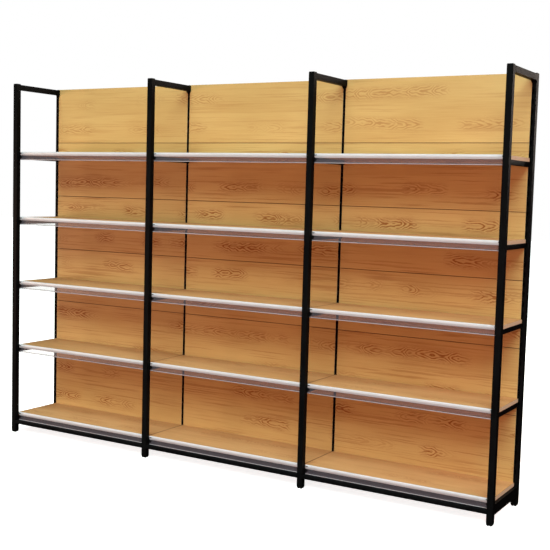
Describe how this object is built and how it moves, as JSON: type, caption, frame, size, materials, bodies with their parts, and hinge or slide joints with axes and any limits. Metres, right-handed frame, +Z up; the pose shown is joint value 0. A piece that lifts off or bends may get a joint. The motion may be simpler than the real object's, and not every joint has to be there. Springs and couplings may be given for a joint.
{
  "type": "gondola shelving unit",
  "caption": "Single-sided gondola shelving run with black square-tube side frames, oak back boards and hooked oak shelves behind white ticket rails.",
  "frame": {"origin": "floor level, at the middle of the unit's length and depth", "axes": "+X along the unit, to the right as the shopper faces it; -Y towards the shopper; +Y towards the wall; +Z up"},
  "size_m": [3.03, 0.4, 2.1],
  "materials": {
    "black_steel": "matt black powder coat",
    "oak_laminate": "satin light oak laminate",
    "rail_plastic": "satin white",
    "clear_strip": "clear ticket strip",
    "black_plastic": "moulded, matt"
  },
  "bodies": {
    "unit": {"side_frame_1": "black_steel", "side_frame_2": "black_steel", "side_frame_3": "black_steel", "side_frame_4": "black_steel", "foot_front_1": "black_plastic", "foot_rear_1": "black_plastic", "foot_front_2": "black_plastic", "foot_rear_2": "black_plastic", "foot_front_3": "black_plastic", "foot_rear_3": "black_plastic", "foot_front_4": "black_plastic", "foot_rear_4": "black_plastic", "back_board_1_1": "oak_laminate", "back_board_1_2": "oak_laminate", "back_board_1_3": "oak_laminate", "back_board_1_4": "oak_laminate", "back_board_1_5": "oak_laminate", "back_board_1_6": "oak_laminate", "base_front_rail_1": "rail_plastic", "back_board_2_1": "oak_laminate", "back_board_2_2": "oak_laminate", "back_board_2_3": "oak_laminate", "back_board_2_4": "oak_laminate", "back_board_2_5": "oak_laminate", "back_board_2_6": "oak_laminate", "base_front_rail_2": "rail_plastic", "back_board_3_1": "oak_laminate", "back_board_3_2": "oak_laminate", "back_board_3_3": "oak_laminate", "back_board_3_4": "oak_laminate", "back_board_3_5": "oak_laminate", "back_board_3_6": "oak_laminate", "base_front_rail_3": "rail_plastic"},
    "base_board_1": {"shelf_board_1_1": "oak_laminate"},
    "shelf_1_2": {"shelf_carrier_1_2": "black_steel", "shelf_board_1_2": "oak_laminate"},
    "shelf_1_3": {"shelf_carrier_1_3": "black_steel", "shelf_board_1_3": "oak_laminate"},
    "shelf_1_4": {"shelf_carrier_1_4": "black_steel", "shelf_board_1_4": "oak_laminate"},
    "shelf_1_5": {"shelf_carrier_1_5": "black_steel", "shelf_board_1_5": "oak_laminate"},
    "base_board_2": {"shelf_board_2_1": "oak_laminate"},
    "shelf_2_2": {"shelf_carrier_2_2": "black_steel", "shelf_board_2_2": "oak_laminate"},
    "shelf_2_3": {"shelf_carrier_2_3": "black_steel", "shelf_board_2_3": "oak_laminate"},
    "shelf_2_4": {"shelf_carrier_2_4": "black_steel", "shelf_board_2_4": "oak_laminate"},
    "shelf_2_5": {"shelf_carrier_2_5": "black_steel", "shelf_board_2_5": "oak_laminate"},
    "base_board_3": {"shelf_board_3_1": "oak_laminate"},
    "shelf_3_2": {"shelf_carrier_3_2": "black_steel", "shelf_board_3_2": "oak_laminate"},
    "shelf_3_3": {"shelf_carrier_3_3": "black_steel", "shelf_board_3_3": "oak_laminate"},
    "shelf_3_4": {"shelf_carrier_3_4": "black_steel", "shelf_board_3_4": "oak_laminate"},
    "shelf_3_5": {"shelf_carrier_3_5": "black_steel", "shelf_board_3_5": "oak_laminate"}
  },
  "joints": [
    {"name": "base_board_lift_1", "type": "slide", "parent": "unit", "child": "base_board_1", "axis": [0, 0, 1], "range_m": [0, 0.02]},
    {"name": "shelf_lift_1_2", "type": "slide", "parent": "unit", "child": "shelf_1_2", "axis": [0, 0, 1], "range_m": [0, 0.012]},
    {"name": "shelf_lift_1_3", "type": "slide", "parent": "unit", "child": "shelf_1_3", "axis": [0, 0, 1], "range_m": [0, 0.012]},
    {"name": "shelf_lift_1_4", "type": "slide", "parent": "unit", "child": "shelf_1_4", "axis": [0, 0, 1], "range_m": [0, 0.012]},
    {"name": "shelf_lift_1_5", "type": "slide", "parent": "unit", "child": "shelf_1_5", "axis": [0, 0, 1], "range_m": [0, 0.012]},
    {"name": "base_board_lift_2", "type": "slide", "parent": "unit", "child": "base_board_2", "axis": [0, 0, 1], "range_m": [0, 0.02]},
    {"name": "shelf_lift_2_2", "type": "slide", "parent": "unit", "child": "shelf_2_2", "axis": [0, 0, 1], "range_m": [0, 0.012]},
    {"name": "shelf_lift_2_3", "type": "slide", "parent": "unit", "child": "shelf_2_3", "axis": [0, 0, 1], "range_m": [0, 0.012]},
    {"name": "shelf_lift_2_4", "type": "slide", "parent": "unit", "child": "shelf_2_4", "axis": [0, 0, 1], "range_m": [0, 0.012]},
    {"name": "shelf_lift_2_5", "type": "slide", "parent": "unit", "child": "shelf_2_5", "axis": [0, 0, 1], "range_m": [0, 0.012]},
    {"name": "base_board_lift_3", "type": "slide", "parent": "unit", "child": "base_board_3", "axis": [0, 0, 1], "range_m": [0, 0.02]},
    {"name": "shelf_lift_3_2", "type": "slide", "parent": "unit", "child": "shelf_3_2", "axis": [0, 0, 1], "range_m": [0, 0.012]},
    {"name": "shelf_lift_3_3", "type": "slide", "parent": "unit", "child": "shelf_3_3", "axis": [0, 0, 1], "range_m": [0, 0.012]},
    {"name": "shelf_lift_3_4", "type": "slide", "parent": "unit", "child": "shelf_3_4", "axis": [0, 0, 1], "range_m": [0, 0.012]},
    {"name": "shelf_lift_3_5", "type": "slide", "parent": "unit", "child": "shelf_3_5", "axis": [0, 0, 1], "range_m": [0, 0.012]}
  ]
}
